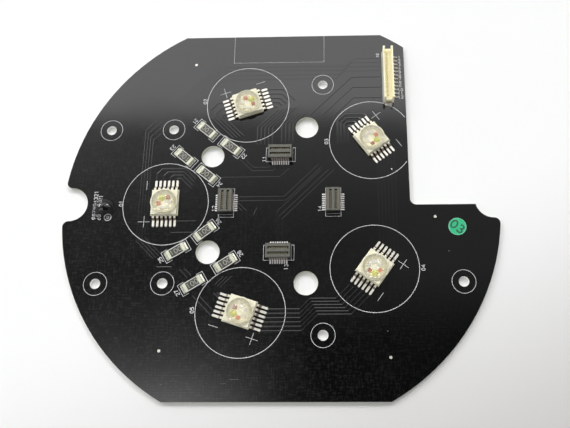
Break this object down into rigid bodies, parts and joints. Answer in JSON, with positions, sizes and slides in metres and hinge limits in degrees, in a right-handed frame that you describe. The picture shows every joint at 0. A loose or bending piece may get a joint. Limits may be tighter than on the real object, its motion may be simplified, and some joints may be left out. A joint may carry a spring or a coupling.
{
  "type": "led module",
  "caption": "Round black circuit board with a cut-out corner, multi-chip domed power LEDs on a circle, board sockets, chip resistors and a wire header, fixed by screws.",
  "frame": {"origin": "centre of the board's round outline, on its underside", "axes": "+X to the right edge with the cut-out quadrant above it, +Y to the flat edge by the wire header, +Z out of the face that carries the LEDs"},
  "size_m": [0.1512, 0.1332, 0.0074],
  "materials": {
    "soldermask": "black solder mask over glass-fibre laminate, satin",
    "led_plastic": "ivory moulded plastic",
    "tinned_metal": "tinned copper, soldered",
    "slug_copper": "plated copper",
    "led_chip": "semiconductor chip, one coated with yellow phosphor",
    "clear_silicone": "clear silicone",
    "resistor_film": "dark overglaze on ceramic",
    "socket_plastic": "olive-grey moulded plastic",
    "contact_metal": "plated copper alloy",
    "header_nylon": "natural cream nylon",
    "label_green": "printed film",
    "clear_rubber": "clear soft polyurethane",
    "white_ink": "white screen print on the board, made in the scene",
    "dark_ink": "stamped figures on the label, made in the scene"
  },
  "bodies": {
    "root": {"circuit_board": "soldermask", "led_1_housing": "led_plastic", "led_1_leads": "tinned_metal", "led_1_slug": "slug_copper", "led_1_chips": "led_chip", "led_1_lens": "clear_silicone", "led_2_housing": "led_plastic", "led_2_leads": "tinned_metal", "led_2_slug": "slug_copper", "led_2_chips": "led_chip", "led_2_lens": "clear_silicone", "led_3_housing": "led_plastic", "led_3_leads": "tinned_metal", "led_3_slug": "slug_copper", "led_3_chips": "led_chip", "led_3_lens": "clear_silicone", "led_4_housing": "led_plastic", "led_4_leads": "tinned_metal", "led_4_slug": "slug_copper", "led_4_chips": "led_chip", "led_4_lens": "clear_silicone", "led_5_housing": "led_plastic", "led_5_leads": "tinned_metal", "led_5_slug": "slug_copper", "led_5_chips": "led_chip", "led_5_lens": "clear_silicone", "resistor_1_body": "resistor_film", "resistor_1_caps": "tinned_metal", "resistor_2_body": "resistor_film", "resistor_2_caps": "tinned_metal", "resistor_3_body": "resistor_film", "resistor_3_caps": "tinned_metal", "resistor_4_body": "resistor_film", "resistor_4_caps": "tinned_metal", "resistor_5_body": "resistor_film", "resistor_5_caps": "tinned_metal", "resistor_6_body": "resistor_film", "resistor_6_caps": "tinned_metal", "resistor_7_body": "resistor_film", "resistor_7_caps": "tinned_metal", "resistor_8_body": "resistor_film", "resistor_8_caps": "tinned_metal", "socket_1_housing": "socket_plastic", "socket_1_contacts": "contact_metal", "socket_2_housing": "socket_plastic", "socket_2_contacts": "contact_metal", "socket_3_housing": "socket_plastic", "socket_3_contacts": "contact_metal", "socket_4_housing": "socket_plastic", "socket_4_contacts": "contact_metal", "header_housing": "header_nylon", "header_contacts": "tinned_metal", "header_tabs": "tinned_metal", "inspection_label": "label_green", "clear_bumper": "clear_rubber"}
  },
  "joints": []
}
